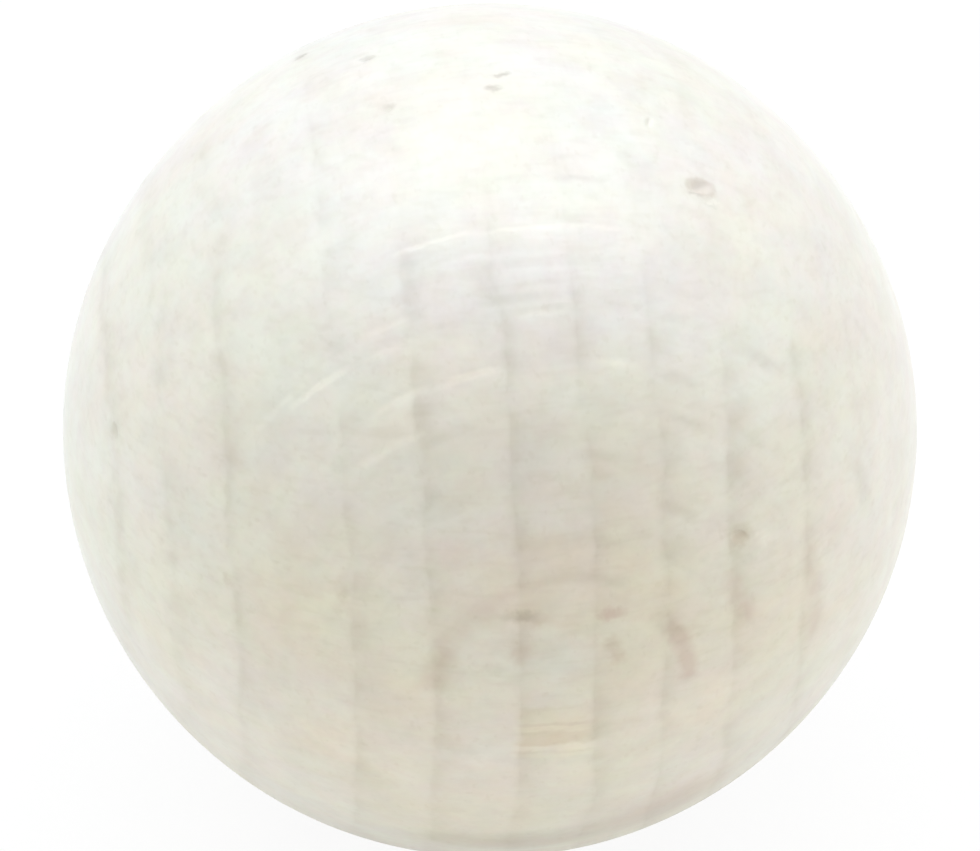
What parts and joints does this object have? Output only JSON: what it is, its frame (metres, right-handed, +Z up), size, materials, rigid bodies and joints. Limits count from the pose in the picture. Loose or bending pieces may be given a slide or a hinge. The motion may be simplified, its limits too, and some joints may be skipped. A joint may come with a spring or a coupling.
{
  "type": "wooden ball",
  "caption": "Plain solid wooden ball, turned from pale close-grained hardwood and left bare, with faint turning rings round its end grain and a few small dents.",
  "frame": {"origin": "centre of the ball", "axes": "+Y along the turning axis and the run of the grain, +X square to the growth rings, +Z up"},
  "size_m": [0.03, 0.03, 0.03],
  "materials": {
    "wood": "bare wood, turned and finely sanded, with a slight sheen"
  },
  "bodies": {
    "root": {"ball": "wood"}
  },
  "joints": []
}
